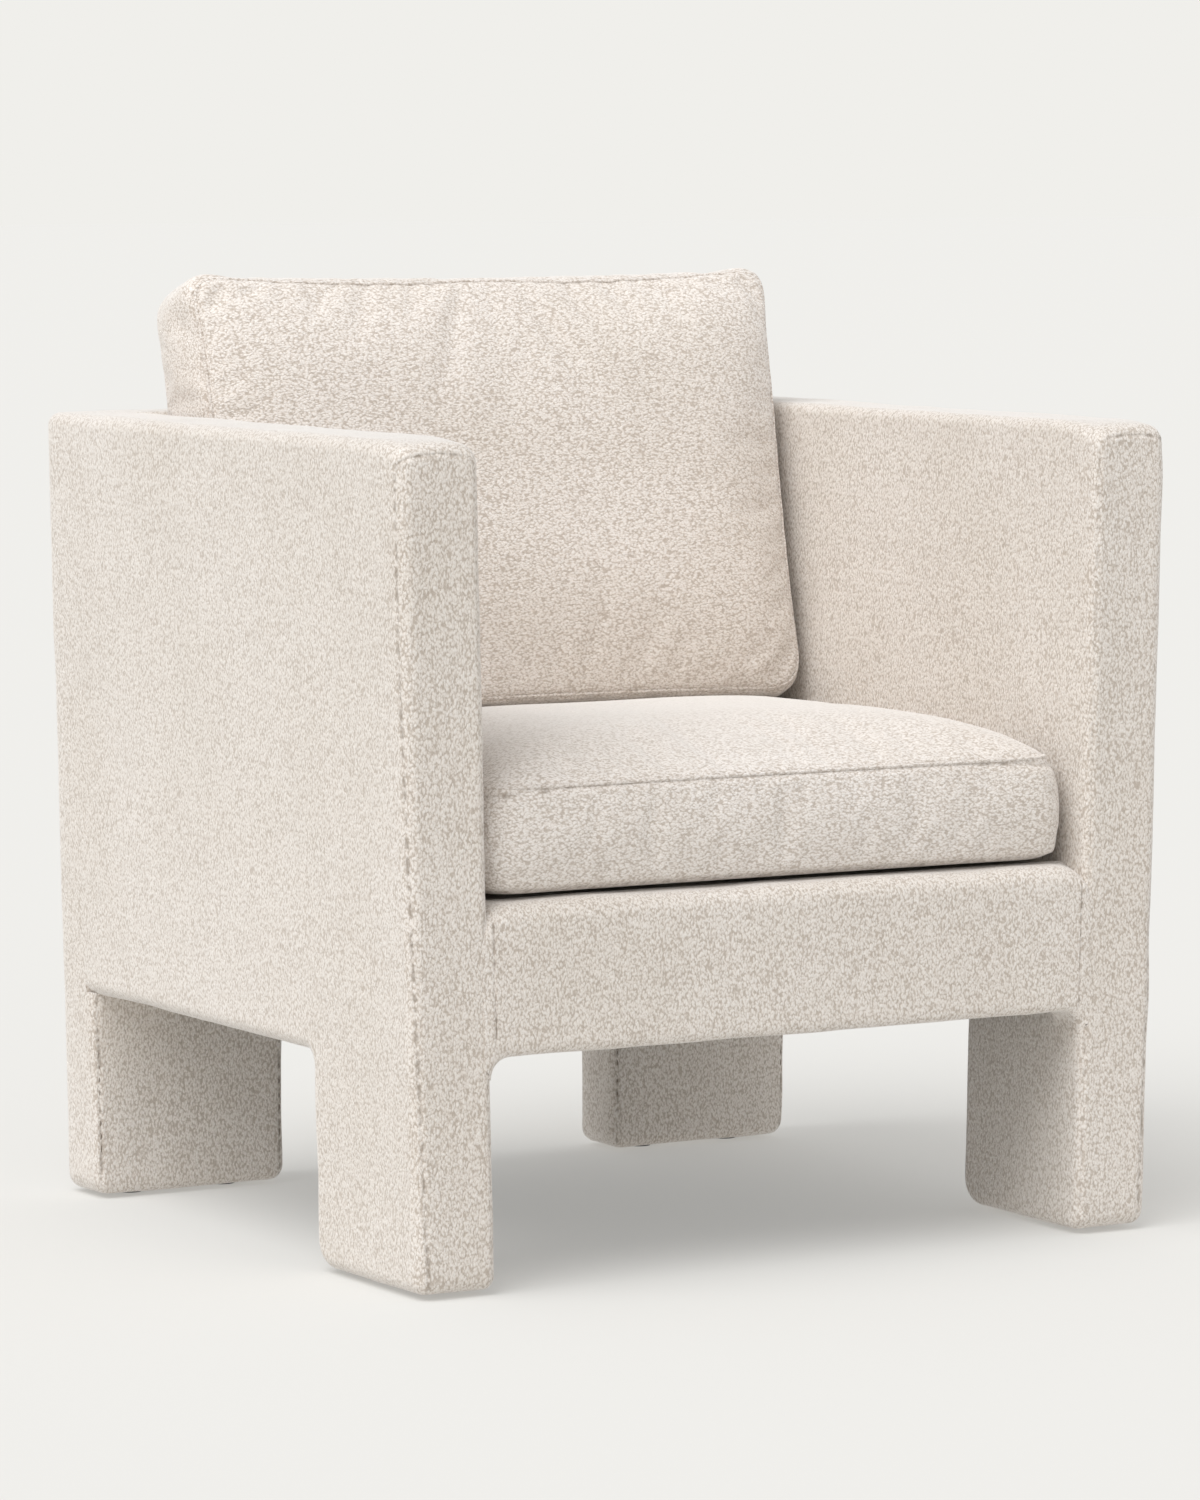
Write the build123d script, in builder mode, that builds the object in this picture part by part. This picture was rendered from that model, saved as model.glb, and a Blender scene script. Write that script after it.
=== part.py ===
from build123d import *
from math import atan2, cos, hypot, pi, radians, sin, tan
import os

os.makedirs("parts", exist_ok=True)

# Outside sizes of the chair. Front is -Y, the floor is z = 0.
floor_width = 722
arm_lean = 16.5
depth = 664
arm_height = 703
arm_thickness = 74
front_leg_depth = 181
rear_leg_width = 188
back_thickness = 66
side_underside = 186
rail_underside = 196
rail_top = 323

# Layers of the upholstery and the frame.
cover = 2.5
padding = 10
ply = 9
seat_board = 28
side_board = 25
frame_stile = 60
lower_rail_height = 96
deck_padding_depth = 16
insulator = 2
dust_cloth = 1.5

# Rounding of the upholstered forms.
rim_radius = 9
inner_rim = 4
top_corner = 13
toe_radius = 12
heel_radius = 24
inside_corner = 14
rail_edge = 16
rail_lower_edge = 11
back_rim = 6
leg_edge = 4
inner_leg_edge = 2.5

# Seat suspension.
spring_count = 4
spring_spacing = 140
spring_turns = 12
spring_half_width = 32
bend_chords = 5
wire = 3.6
wire_play = 0.3
clip_strip = 1.2
clip_width = 11

# Corner blocks and feet.
glide_radius = 11
glide_height = 4
block_leg = 70
block_height = 60

# Slopes: the deck falls to the rear and the inside back is raked.
seat_pitch = radians(1.5)
back_rake = radians(13)

# Loose cushions.
cushion_side_gap = 4.5
seat_cushion_setback = 9
seat_boxing = 92
seat_crown = 36
back_cushion_height = 405
back_boxing = 88
back_crown = 26
cushion_corner = 26
waist_share = 0.015
cushion_roll = 12
lower_seam = 0.06
crown_run = 0.3
cushion_gap = 0.8
standing_gap = 2
zip_band = 20

# Values that follow from the sizes above.
half_floor = floor_width / 2
front = -depth / 2
rear = depth / 2
skin = cover + padding
lean_out = atan2(arm_lean, arm_height)
leaning = (cos(lean_out), 0, sin(lean_out))
rising = (-sin(lean_out), 0, cos(lean_out))
back_front = rear - back_thickness
back_frame = back_front + skin
wood_front = front + skin
wood_top = arm_height - skin
wood_bottom = glide_height + cover
wood_underside = side_underside + skin
leg_back = front + front_leg_depth
inner_ply_face = arm_thickness - skin
side_board_face = inner_ply_face + side_board
rear_leg_inner = half_floor - rear_leg_width
box_bottom = rail_underside + cover
spring_space = 2 * (clip_strip + wire_play) + wire
box_top = rail_top - cover - deck_padding_depth - insulator - spring_space
box_front_inner = wood_front + seat_board
box_rear_inner = back_frame - side_board

# The deck slopes about the front of the rail top.
deck = Plane(origin=(0, front, box_top), x_dir=(1, 0, 0), z_dir=(0, sin(seat_pitch), cos(seat_pitch)))
deck_insulator_level = deck.offset(spring_space)
deck_padding_level = deck_insulator_level.offset(insulator)
deck_cover_level = deck_padding_level.offset(deck_padding_depth)
deck_top = deck_cover_level.offset(cover)


def slant(height):
    return height / cos(lean_out)


def half_width(height, inset):
    return half_floor + arm_lean * height / arm_height - inset


def arm_plane(offset):
    return Plane(origin=(offset - half_floor, 0, 0), x_dir=(0, 1, 0), z_dir=leaning)


def face_plane(y):
    return Plane(origin=(0, y, 0), x_dir=(1, 0, 0), z_dir=(0, -1, 0))


def save(part, name):
    part.label = name
    export_step(part, "parts/" + name + ".step")


def save_pair(part, name):
    save(part, "left_" + name)
    with BuildPart() as other:
        mirror(part, about=Plane.YZ)
    save(other.part, "right_" + name)


def round_corner(sketch, x, y, radius):
    fillet(sketch.vertices().sort_by_distance((x, y, 0))[0], radius)


def keep_between_arms(offset):
    left = arm_plane(offset)
    right = Plane(
        origin=(half_floor - offset, 0, 0), x_dir=(0, -1, 0), z_dir=(-leaning[0], 0, leaning[2])
    )
    split(bisect_by=left, keep=Keep.TOP)
    split(bisect_by=right, keep=Keep.TOP)


# A leaning slab of one arm between two distances from its outer face.
def arm_board(outer, inner, y_from, y_to, z_from, z_to):
    with BuildPart() as board:
        with BuildSketch(arm_plane(outer)):
            with BuildLine():
                Polyline(
                    (y_from, slant(z_from)),
                    (y_to, slant(z_from)),
                    (y_to, slant(z_to)),
                    (y_from, slant(z_to)),
                    close=True,
                )
            make_face()
        extrude(amount=inner - outer, dir=(1, 0, 0))
    return board.part


# The whole arm with its front leg, drawn in by an inset on every face but the rear end.
def arm_form(inset):
    bottom = glide_height + min(inset, cover)
    toe = front + inset
    heel = leg_back - inset
    top = arm_height - inset
    under = side_underside + inset
    rim = rim_radius - inset
    with BuildPart() as form:
        with BuildSketch(arm_plane(inset)) as outline:
            with BuildLine():
                Polyline(
                    (toe, slant(bottom)),
                    (heel, slant(bottom)),
                    (heel, slant(under)),
                    (back_frame, slant(under)),
                    (back_frame, slant(top)),
                    (toe, slant(top)),
                    close=True,
                )
            make_face()
            round_corner(outline, toe, slant(bottom), toe_radius - min(inset, cover))
            round_corner(outline, heel, slant(bottom), heel_radius - min(inset, cover))
            if rim > 0:
                round_corner(outline, heel, slant(under), inside_corner + inset)
                round_corner(outline, toe, slant(top), top_corner - inset)
        extrude(amount=arm_thickness - 2 * inset, dir=(1, 0, 0))
        if rim > 0:
            for face in (0, -1):
                side = form.faces().filter_by(arm_plane(inset)).sort_by(Axis.X)[face]
                free = side.edges().filter_by(lambda e: e.center().Y < back_frame - rim)
                if inset > 0 or face == -1:
                    chamfer(free, inner_rim)
                else:
                    fillet(free, rim)
    return form.part


# The opening in the inside of an arm where the seat box is bolted to its plywood.
with BuildPart() as box_opening:
    add(arm_board(inner_ply_face, arm_thickness + cover, wood_front, back_frame, box_bottom, rail_top))
    split(bisect_by=deck, keep=Keep.BOTTOM)

post_back = leg_back - skin
rear_post_front = back_frame - frame_stile

# Arm covers: the wrap and the narrow facing sewn to its front.
arm_outside = arm_form(0)
arm_under_cover = arm_form(cover)
arm_frame = arm_form(skin)
facing_plane = face_plane(front + cover)

with BuildPart() as arm_cover:
    add(arm_outside)
    add(arm_under_cover, mode=Mode.SUBTRACT)
    add(box_opening.part, mode=Mode.SUBTRACT)
    split(bisect_by=facing_plane, keep=Keep.BOTTOM)
save_pair(arm_cover.part, "arm_cover")

with BuildPart() as front_facing:
    add(arm_outside)
    add(arm_under_cover, mode=Mode.SUBTRACT)
    split(bisect_by=facing_plane, keep=Keep.TOP)
save_pair(front_facing.part, "front_facing")

with BuildPart() as arm_padding:
    add(arm_under_cover)
    add(arm_frame, mode=Mode.SUBTRACT)
    add(box_opening.part, mode=Mode.SUBTRACT)
save_pair(arm_padding.part, "arm_padding")

# Arm frame: two plywood skins over a front post, a rear post and two rails.
outer_core = skin + ply
inner_core = inner_ply_face - ply
lower_rail_top = wood_underside + lower_rail_height

with BuildPart() as arm_outer_panel:
    add(arm_frame)
    split(bisect_by=arm_plane(outer_core), keep=Keep.BOTTOM)
save_pair(arm_outer_panel.part, "arm_outer_panel")

with BuildPart() as arm_inner_panel:
    add(arm_frame)
    split(bisect_by=arm_plane(inner_core), keep=Keep.TOP)
save_pair(arm_inner_panel.part, "arm_inner_panel")

with BuildPart() as front_post:
    add(arm_frame)
    split(bisect_by=arm_plane(outer_core), keep=Keep.TOP)
    split(bisect_by=arm_plane(inner_core), keep=Keep.BOTTOM)
    split(bisect_by=face_plane(post_back), keep=Keep.TOP)
save_pair(front_post.part, "front_post")

arm_top_rail = arm_board(
    outer_core, inner_core, post_back, rear_post_front, wood_top - frame_stile, wood_top
)
save_pair(arm_top_rail, "arm_top_rail")

arm_rear_post = arm_board(outer_core, inner_core, rear_post_front, back_frame, wood_underside, wood_top)
save_pair(arm_rear_post, "arm_rear_post")

arm_lower_rail = arm_board(
    outer_core, inner_core, post_back, rear_post_front, wood_underside, lower_rail_top
)
save_pair(arm_lower_rail, "arm_lower_rail")

# Seat box: two side boards on the inner plywood, front and rear rails between the arms.
with BuildPart() as seat_side_rail:
    add(arm_board(inner_ply_face, side_board_face, box_front_inner, box_rear_inner, box_bottom, rail_top))
    split(bisect_by=deck, keep=Keep.BOTTOM)
save_pair(seat_side_rail.part, "seat_side_rail")


def cross_rail(y_from, y_to):
    with BuildPart() as rail:
        with BuildSketch(face_plane(y_from)):
            with Locations((0, box_bottom)):
                Rectangle(floor_width, rail_top - box_bottom, align=(Align.CENTER, Align.MIN))
        extrude(amount=y_from - y_to)
        keep_between_arms(inner_ply_face)
        split(bisect_by=deck, keep=Keep.BOTTOM)
    return rail.part


save(cross_rail(wood_front, box_front_inner), "front_rail")
save(cross_rail(box_rear_inner, back_frame), "rear_rail")

# Corner blocks follow the lean of the side boards.
block_z = box_top - block_height - depth * tan(seat_pitch)
block_x = side_board_face - half_floor - arm_lean * block_z / arm_height
with BuildPart() as corner_blocks:
    with BuildSketch(Plane.XY.offset(block_z)):
        for y, run in ((box_front_inner, block_leg), (box_rear_inner, -block_leg)):
            with BuildLine():
                Polyline((block_x, y), (block_x + block_leg, y), (block_x, y + run), close=True)
            make_face()
    extrude(amount=slant(block_height), dir=rising)
    mirror(about=Plane.YZ)
save(corner_blocks.part, "corner_blocks")

# Zigzag springs: one wire each, straight runs joined by half turns bent in short chords.
wire_level = clip_strip + wire_play + wire / 2
spring_start = seat_board / 2 + skin
spring_end = back_frame - side_board / 2 - front
turn_radius = (spring_end - spring_start) / cos(seat_pitch) / spring_turns / 2
run_end = spring_half_width - turn_radius
wire_plane = deck.offset(wire_level)

last_y = spring_start + 2 * turn_radius * spring_turns
zigzag_points = [(-run_end, spring_start)]
for i in range(spring_turns):
    side = 1 if i % 2 == 0 else -1
    for n in range(bend_chords + 1):
        angle = pi * n / bend_chords
        x = side * (run_end + turn_radius * sin(angle))
        zigzag_points.append((x, spring_start + turn_radius * (2 * i + 1 - cos(angle))))
zigzag_points.append((-zigzag_points[-1][0], last_y))

with BuildPart() as seat_springs:
    with BuildLine(wire_plane) as zigzag:
        Polyline(*zigzag_points)
    with BuildSketch(Plane(origin=zigzag.line @ 0, x_dir=(0, 1, 0), z_dir=(1, 0, 0))):
        Rectangle(wire, wire)
    sweep(transition=Transition.RIGHT)
one_spring = seat_springs.part
with BuildPart() as springs:
    with GridLocations(spring_spacing, 0, spring_count, 1):
        add(one_spring)
save(springs.part, "seat_springs")
spring_path = zigzag.wire()
samples = 400
path_points = [spring_path @ (n / samples) for n in range(samples + 1)]
apart = [
    hypot(p.X - q.X, p.Y - q.Y, p.Z - q.Z) - wire
    for i, p in enumerate(path_points)
    for j, q in enumerate(path_points)
    if (j - i) * spring_path.length / samples > 4 * wire
]
print("least gap between runs of one spring:", round(min(apart), 2))

# Clips: a bent strip round the end run of each spring, seated on the rail.
with BuildPart() as one_clip:
    hold = wire / 2 + wire_play
    wrap = hold + clip_strip
    with BuildSketch(Plane(origin=deck.origin, x_dir=deck.y_dir, z_dir=deck.x_dir)):
        with BuildLine():
            Line((-wrap, 0), (wrap, 0))
            Line((wrap, 0), (wrap, clip_strip))
            Line((wrap, clip_strip), (-hold, clip_strip))
            Line((-hold, clip_strip), (-hold, clip_strip + 2 * hold))
            Line((-hold, clip_strip + 2 * hold), (wrap, clip_strip + 2 * hold))
            Line((wrap, clip_strip + 2 * hold), (wrap, 2 * wrap))
            Line((wrap, 2 * wrap), (-wrap, 2 * wrap))
            Line((-wrap, 2 * wrap), (-wrap, 0))
        make_face()
    extrude(amount=clip_width / 2, both=True)
clip_ends = [(0, spring_start), (0, last_y)]
with BuildPart() as spring_clips:
    with GridLocations(spring_spacing, 0, spring_count, 1):
        for x, y in clip_ends:
            with Locations((x, y * cos(seat_pitch), -y * sin(seat_pitch))):
                add(one_clip.part)
save(spring_clips.part, "spring_clips")


# Flat layers of the deck between the arms.
def deck_layer(level, amount, y_from, y_to):
    with BuildPart() as layer:
        with BuildSketch(level):
            with BuildLine():
                Polyline(
                    (-half_floor, y_from - front),
                    (half_floor, y_from - front),
                    (half_floor, depth),
                    (-half_floor, depth),
                    close=True,
                )
            make_face()
        extrude(amount=amount)
        keep_between_arms(arm_thickness)
        split(bisect_by=face_plane(y_to), keep=Keep.TOP)
    return layer.part


save(deck_layer(deck_insulator_level, insulator, box_front_inner, back_frame), "deck_insulator")
save(deck_layer(deck_padding_level, deck_padding_depth, box_front_inner, back_frame), "deck_padding")
save(deck_layer(deck_cover_level, cover, box_front_inner, back_frame), "deck_cover")


# Front rail upholstery: padding over the board, one cover wrapped from below over the top.
def rail_form(inset):
    with BuildPart() as form:
        with BuildSketch(Plane(origin=(-half_floor, 0, 0), x_dir=(0, 1, 0), z_dir=(1, 0, 0))) as side:
            with BuildLine():
                Polyline(
                    (front + inset, rail_underside + inset),
                    (box_front_inner, rail_underside + inset),
                    (box_front_inner, rail_top - inset),
                    (front + inset, rail_top - inset),
                    close=True,
                )
            make_face()
            round_corner(side, front + inset, rail_underside + inset, rail_lower_edge - inset)
            round_corner(side, front + inset, rail_top - inset, rail_edge - inset)
        extrude(amount=floor_width)
        keep_between_arms(arm_thickness)
        split(bisect_by=deck_top.offset(-inset), keep=Keep.BOTTOM)
    return form.part


with BuildPart() as front_rail_cover:
    add(rail_form(0))
    add(rail_form(cover), mode=Mode.SUBTRACT)
save(front_rail_cover.part, "front_rail_cover")

with BuildPart() as rail_board_space:
    with BuildSketch(face_plane(wood_front)):
        with Locations((0, rail_underside)):
            Rectangle(floor_width, box_top + spring_space - rail_underside, align=(Align.CENTER, Align.MIN))
    extrude(amount=-seat_board)
with BuildPart() as front_rail_padding:
    add(rail_form(cover))
    add(rail_board_space.part, mode=Mode.SUBTRACT)
save(front_rail_padding.part, "front_rail_padding")

with BuildPart() as dust_cover:
    with BuildSketch(Plane.XY.offset(box_bottom - dust_cloth)):
        with BuildLine():
            Polyline(
                (-half_floor, box_front_inner),
                (half_floor, box_front_inner),
                (half_floor, back_frame),
                (-half_floor, back_frame),
                close=True,
            )
        make_face()
    extrude(amount=dust_cloth)
    keep_between_arms(arm_thickness)
save(dust_cover.part, "dust_cover")


# The back slab with its two rear legs, drawn in by an inset on every face but the front.
def back_outline(inset):
    bottom = glide_height + min(inset, cover)
    top = arm_height - inset
    under = side_underside + inset
    leg = rear_leg_inner + inset
    with BuildSketch(face_plane(back_frame)) as outline:
        with BuildLine():
            Polyline(
                (leg, under),
                (leg, bottom),
                (half_width(bottom, inset), bottom),
                (half_width(top, inset), top),
                (-half_width(top, inset), top),
                (-half_width(bottom, inset), bottom),
                (-leg, bottom),
                (-leg, under),
                close=True,
            )
        make_face()
        if rim_radius > inset:
            for side in (-1, 1):
                round_corner(outline, side * leg, bottom, toe_radius - inset)
                round_corner(outline, side * half_width(bottom, inset), bottom, toe_radius - inset)
                round_corner(outline, side * half_width(top, inset), top, top_corner - inset)
                round_corner(outline, side * leg, under, inside_corner + inset)
    return outline.sketch


def back_form(inset):
    bottom = glide_height + min(inset, cover)
    with BuildPart() as form:
        extrude(back_outline(inset), amount=rear - inset - back_frame, dir=(0, 1, 0))
        rim = form.faces().sort_by(Axis.Y)[-1].edges()
        chamfer(rim, inner_rim if inset > 0 else back_rim)
    with BuildPart() as leg_front:
        with BuildSketch(face_plane(back_frame)) as leg_outline:
            with BuildLine():
                Polyline(
                    (rear_leg_inner + inset, bottom),
                    (half_width(bottom, inset), bottom),
                    (half_width(side_underside - inset, inset), side_underside - inset),
                    (rear_leg_inner + inset, side_underside - inset),
                    close=True,
                )
            make_face()
            fillet(leg_outline.vertices().group_by(Axis.Y)[0], toe_radius - inset)
        extrude(amount=skin - inset)
        chamfer(leg_front.faces().sort_by(Axis.Y)[0].edges(), inner_leg_edge if inset > 0 else leg_edge)
        mirror(about=Plane.YZ)
    with BuildPart() as whole:
        add(form.part)
        add(leg_front.part)
    return whole.part


back_outside = back_form(0)
back_under_cover = back_form(cover)
leg_facing_plane = face_plane(back_front + cover)
with BuildPart() as back_frame_space:
    extrude(back_outline(skin), amount=rear - skin - back_frame, dir=(0, 1, 0))

leg_top_plane = Plane.XY.offset(side_underside)
with BuildPart() as back_skin:
    add(back_outside)
    add(back_under_cover, mode=Mode.SUBTRACT)

with BuildPart() as back_cover:
    add(back_skin.part)
    split(bisect_by=leg_top_plane, keep=Keep.TOP)
save(back_cover.part, "back_cover")

with BuildPart() as left_leg_skin:
    add(back_skin.part)
    split(bisect_by=leg_top_plane, keep=Keep.BOTTOM)
    split(bisect_by=Plane.YZ, keep=Keep.BOTTOM)

with BuildPart() as rear_leg_cover:
    add(left_leg_skin.part)
    split(bisect_by=leg_facing_plane, keep=Keep.BOTTOM)
save_pair(rear_leg_cover.part, "rear_leg_cover")

with BuildPart() as rear_leg_facing:
    add(left_leg_skin.part)
    split(bisect_by=leg_facing_plane, keep=Keep.TOP)
save_pair(rear_leg_facing.part, "rear_leg_facing")

with BuildPart() as back_padding:
    add(back_under_cover)
    add(back_frame_space.part, mode=Mode.SUBTRACT)
save(back_padding.part, "back_padding")

# Back frame: plywood front and rear, tapered leg posts, top and lower rails.
back_core_front = back_frame + ply
back_core_rear = rear - skin - ply
with BuildPart() as back_inner_panel:
    add(back_frame_space.part)
    split(bisect_by=face_plane(back_core_front), keep=Keep.TOP)
save(back_inner_panel.part, "back_inner_panel")

with BuildPart() as back_outer_panel:
    add(back_frame_space.part)
    split(bisect_by=face_plane(back_core_rear), keep=Keep.BOTTOM)
save(back_outer_panel.part, "back_outer_panel")

post_inner = rear_leg_inner + skin
stile_inner = half_width(wood_top, skin) - frame_stile
core_depth = back_core_rear - back_core_front
with BuildPart() as rear_leg:
    with BuildSketch(face_plane(back_core_front)):
        with BuildLine():
            Polyline(
                (-post_inner, wood_bottom),
                (-half_width(wood_bottom, skin), wood_bottom),
                (-half_width(wood_top, skin), wood_top),
                (-stile_inner, wood_top),
                (-stile_inner, wood_top - frame_stile),
                (-post_inner, lower_rail_top),
                close=True,
            )
        make_face()
    extrude(amount=-core_depth)
save_pair(rear_leg.part, "rear_leg")

with BuildPart() as back_top_rail:
    with BuildSketch(face_plane(back_core_front)):
        with Locations((0, wood_top)):
            Rectangle(2 * stile_inner, frame_stile, align=(Align.CENTER, Align.MAX))
    extrude(amount=-core_depth)
save(back_top_rail.part, "back_top_rail")

with BuildPart() as back_lower_rail:
    with BuildSketch(face_plane(back_core_front)):
        with Locations((0, wood_underside)):
            Rectangle(2 * post_inner, lower_rail_height, align=(Align.CENTER, Align.MIN))
    extrude(amount=-core_depth)
save(back_lower_rail.part, "back_lower_rail")


# Raked inside back: a padding wedge on the inner plywood and its cover.
def inside_back_form(inset):
    drop = arm_height - box_top
    face_shift = inset / cos(back_rake)
    with BuildPart() as form:
        with BuildSketch(Plane(origin=(-half_floor, 0, 0), x_dir=(0, 1, 0), z_dir=(1, 0, 0))) as side:
            with BuildLine():
                Polyline(
                    (back_frame, box_top),
                    (back_frame, arm_height - inset),
                    (back_front + face_shift - inset * tan(back_rake), arm_height - inset),
                    (back_front + face_shift - drop * tan(back_rake), box_top),
                    close=True,
                )
            make_face()
            fillet(side.vertices().group_by(Axis.Y)[-1].sort_by(Axis.X)[0], rim_radius - inset)
        extrude(amount=floor_width)
        keep_between_arms(arm_thickness)
        split(bisect_by=deck_top, keep=Keep.TOP)
    return form.part


with BuildPart() as inside_back_cover:
    add(inside_back_form(0))
    add(inside_back_form(cover), mode=Mode.SUBTRACT)
save(inside_back_cover.part, "inside_back_cover")
save(inside_back_form(cover), "inside_back_padding")

# Glides: two under each leg.
front_glide_x = half_floor - arm_thickness / 2
rear_glide_y = back_front + back_thickness / 2
rear_glide_x = half_floor - rear_leg_width / 2
front_glide_y = front + front_leg_depth / 2
with BuildPart() as glides:
    with BuildSketch():
        with Locations((-front_glide_x, front_glide_y)):
            with GridLocations(0, front_leg_depth / 2, 1, 2):
                Circle(glide_radius)
        with Locations((-rear_glide_x, rear_glide_y)):
            with GridLocations(rear_leg_width / 2, 0, 2, 1):
                Circle(glide_radius)
    extrude(amount=glide_height)
    mirror(about=Plane.YZ)
save(glides.part, "glides")


# A box cushion standing on a plane: flat below, drawn-in sides, bulged boxing and a crown,
# closed by flat panels between its levels.
# Each level is a height and how far the outline is drawn in there.
cushion_width = 2 * (half_width(rail_top, arm_thickness) - cushion_side_gap)


def cushion_levels(width, length, boxing, crown):
    run = crown_run * min(width, length)
    seam_draw = 0.3 * cushion_roll
    foot = lower_seam * boxing
    bulge = [(foot + (boxing - foot) * n / 4, seam_draw * (n / 2 - 1) ** 2) for n in range(5)]
    dome = [
        (boxing + crown * sin(radians(18 * n)), seam_draw + run * (1 - cos(radians(18 * n))))
        for n in range(1, 6)
    ]
    return [(0, cushion_roll)] + bulge + dome


# The outline goes round by quarter turns: a drawn-in side and then a corner.
def cushion_outline(half_x, half_y, corner):
    points = []
    for quarter in range(4):
        out, along = (half_x, half_y) if quarter % 2 == 0 else (half_y, half_x)
        run = along - corner
        side = [(out - waist_share * run * (1 - t * t), t * run) for t in (-1, -0.5, 0, 0.5)]
        turns = [radians(22.5 * step) for step in range(4)]
        bend = [(out - corner * (1 - cos(a)), along - corner * (1 - sin(a))) for a in turns]
        points += [Vector(x, y).rotate(Axis.Z, 90 * quarter) for x, y in side + bend]
    return points


def cushion_form(base, width, length, boxing, crown, inset):
    total = boxing + crown
    rings = []
    for level, draw in cushion_levels(width, length, boxing, crown):
        plane = base.offset(inset + level * (total - 2 * inset) / total)
        outline = cushion_outline(
            width / 2 - draw - inset, length / 2 - draw - inset, cushion_corner + draw / 4 - inset
        )
        rings.append([plane.from_local_coords(point) for point in outline])
    outlines = [rings[0], rings[-1]]
    for lower, upper in zip(rings, rings[1:]):
        for n in range(len(lower)):
            outlines.append([lower[n - 1], lower[n], upper[n], upper[n - 1]])
    panels = [Face(Wire.make_polygon(outline)) for outline in outlines]
    with BuildPart() as form:
        add(Solid(Shell(panels)))
    return form.part


def save_cushion(name, base, width, length, boxing, crown, band_plane, panels):
    outside = cushion_form(base, width, length, boxing, crown, 0)
    inside = cushion_form(base, width, length, boxing, crown, cover)
    lower_cut = base.offset(lower_seam * boxing)
    upper_cut = base.offset(boxing)
    with BuildPart() as shell:
        add(outside)
        add(inside, mode=Mode.SUBTRACT)
    with BuildPart() as crowned:
        add(shell.part)
        split(bisect_by=upper_cut, keep=Keep.TOP)
    save(crowned.part, name + panels[0])
    with BuildPart() as flat:
        add(shell.part)
        split(bisect_by=lower_cut, keep=Keep.BOTTOM)
    save(flat.part, name + panels[1])
    with BuildPart() as boxing_ring:
        add(shell.part)
        split(bisect_by=upper_cut, keep=Keep.BOTTOM)
        split(bisect_by=lower_cut, keep=Keep.TOP)
    with BuildPart() as boxing_part:
        add(boxing_ring.part)
        split(bisect_by=band_plane, keep=Keep.TOP)
    save(boxing_part.part, name + "_boxing")
    with BuildPart() as band:
        add(boxing_ring.part)
        split(bisect_by=band_plane, keep=Keep.BOTTOM)
    save(band.part, name + "_zip_band")
    save(inside, name + "_filling")


# The seat cushion lies on the deck and stops short of the raked inside back.
seat_back_edge = back_front - (arm_height - rail_top) * tan(back_rake)
seat_front_edge = front + seat_cushion_setback
seat_length = seat_back_edge - cushion_gap - seat_front_edge
seat_middle = (seat_front_edge + seat_back_edge - cushion_gap) / 2
seat_base = Plane(
    origin=deck_top.offset(cushion_gap).from_local_coords(Vector(0, seat_middle - front, 0)),
    x_dir=deck.x_dir,
    z_dir=deck.z_dir,
)
seat_band = Plane(
    origin=seat_base.from_local_coords(Vector(0, seat_length / 2 - zip_band, 0)),
    x_dir=(1, 0, 0),
    z_dir=-seat_base.y_dir,
)
save_cushion(
    "seat_cushion",
    seat_base,
    cushion_width,
    seat_length,
    seat_boxing,
    seat_crown,
    seat_band,
    ("_top_panel", "_bottom_panel"),
)

# The back cushion leans on the inside back and stands on the rear of the seat cushion.
up_rake = Vector(0, sin(back_rake), cos(back_rake))
out_rake = Vector(0, -cos(back_rake), sin(back_rake))
rake_face = Vector(0, back_front, arm_height)
seat_points = [
    seat_base.from_local_coords(Vector(0, seat_length / 2 - draw, level))
    for level, draw in cushion_levels(cushion_width, seat_length, seat_boxing, seat_crown)
]
stand = max(point.dot(up_rake) for point in seat_points) + standing_gap
climb = stand + back_cushion_height / 2
reach = rake_face.dot(out_rake) + cushion_gap
back_base = Plane(origin=up_rake * climb + out_rake * reach, x_dir=(1, 0, 0), z_dir=out_rake)
back_band = Plane(
    origin=back_base.from_local_coords(Vector(0, zip_band - back_cushion_height / 2, 0)),
    x_dir=(1, 0, 0),
    z_dir=up_rake,
)
save_cushion(
    "back_cushion",
    back_base,
    cushion_width,
    back_cushion_height,
    back_boxing,
    back_crown,
    back_band,
    ("_front_panel", "_rear_panel"),
)
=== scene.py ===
import math
import bmesh
import bpy
import numpy as np
from mathutils import Matrix, Vector
from mathutils.bvhtree import BVHTree


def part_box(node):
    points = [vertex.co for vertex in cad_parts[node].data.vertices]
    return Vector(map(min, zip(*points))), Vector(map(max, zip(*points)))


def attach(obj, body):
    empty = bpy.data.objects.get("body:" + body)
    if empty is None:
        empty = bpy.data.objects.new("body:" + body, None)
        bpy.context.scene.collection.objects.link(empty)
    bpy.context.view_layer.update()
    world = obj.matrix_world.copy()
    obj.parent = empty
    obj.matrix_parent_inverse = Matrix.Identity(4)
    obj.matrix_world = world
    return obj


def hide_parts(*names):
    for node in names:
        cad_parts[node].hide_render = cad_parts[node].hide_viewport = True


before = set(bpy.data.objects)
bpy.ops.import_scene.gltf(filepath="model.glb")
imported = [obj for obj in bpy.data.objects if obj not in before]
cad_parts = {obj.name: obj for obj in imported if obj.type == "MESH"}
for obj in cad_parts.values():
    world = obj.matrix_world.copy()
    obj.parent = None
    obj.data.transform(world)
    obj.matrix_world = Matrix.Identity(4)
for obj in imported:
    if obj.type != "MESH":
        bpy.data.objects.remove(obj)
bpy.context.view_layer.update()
print("frame loaded:", len(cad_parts), "nodes")

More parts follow.
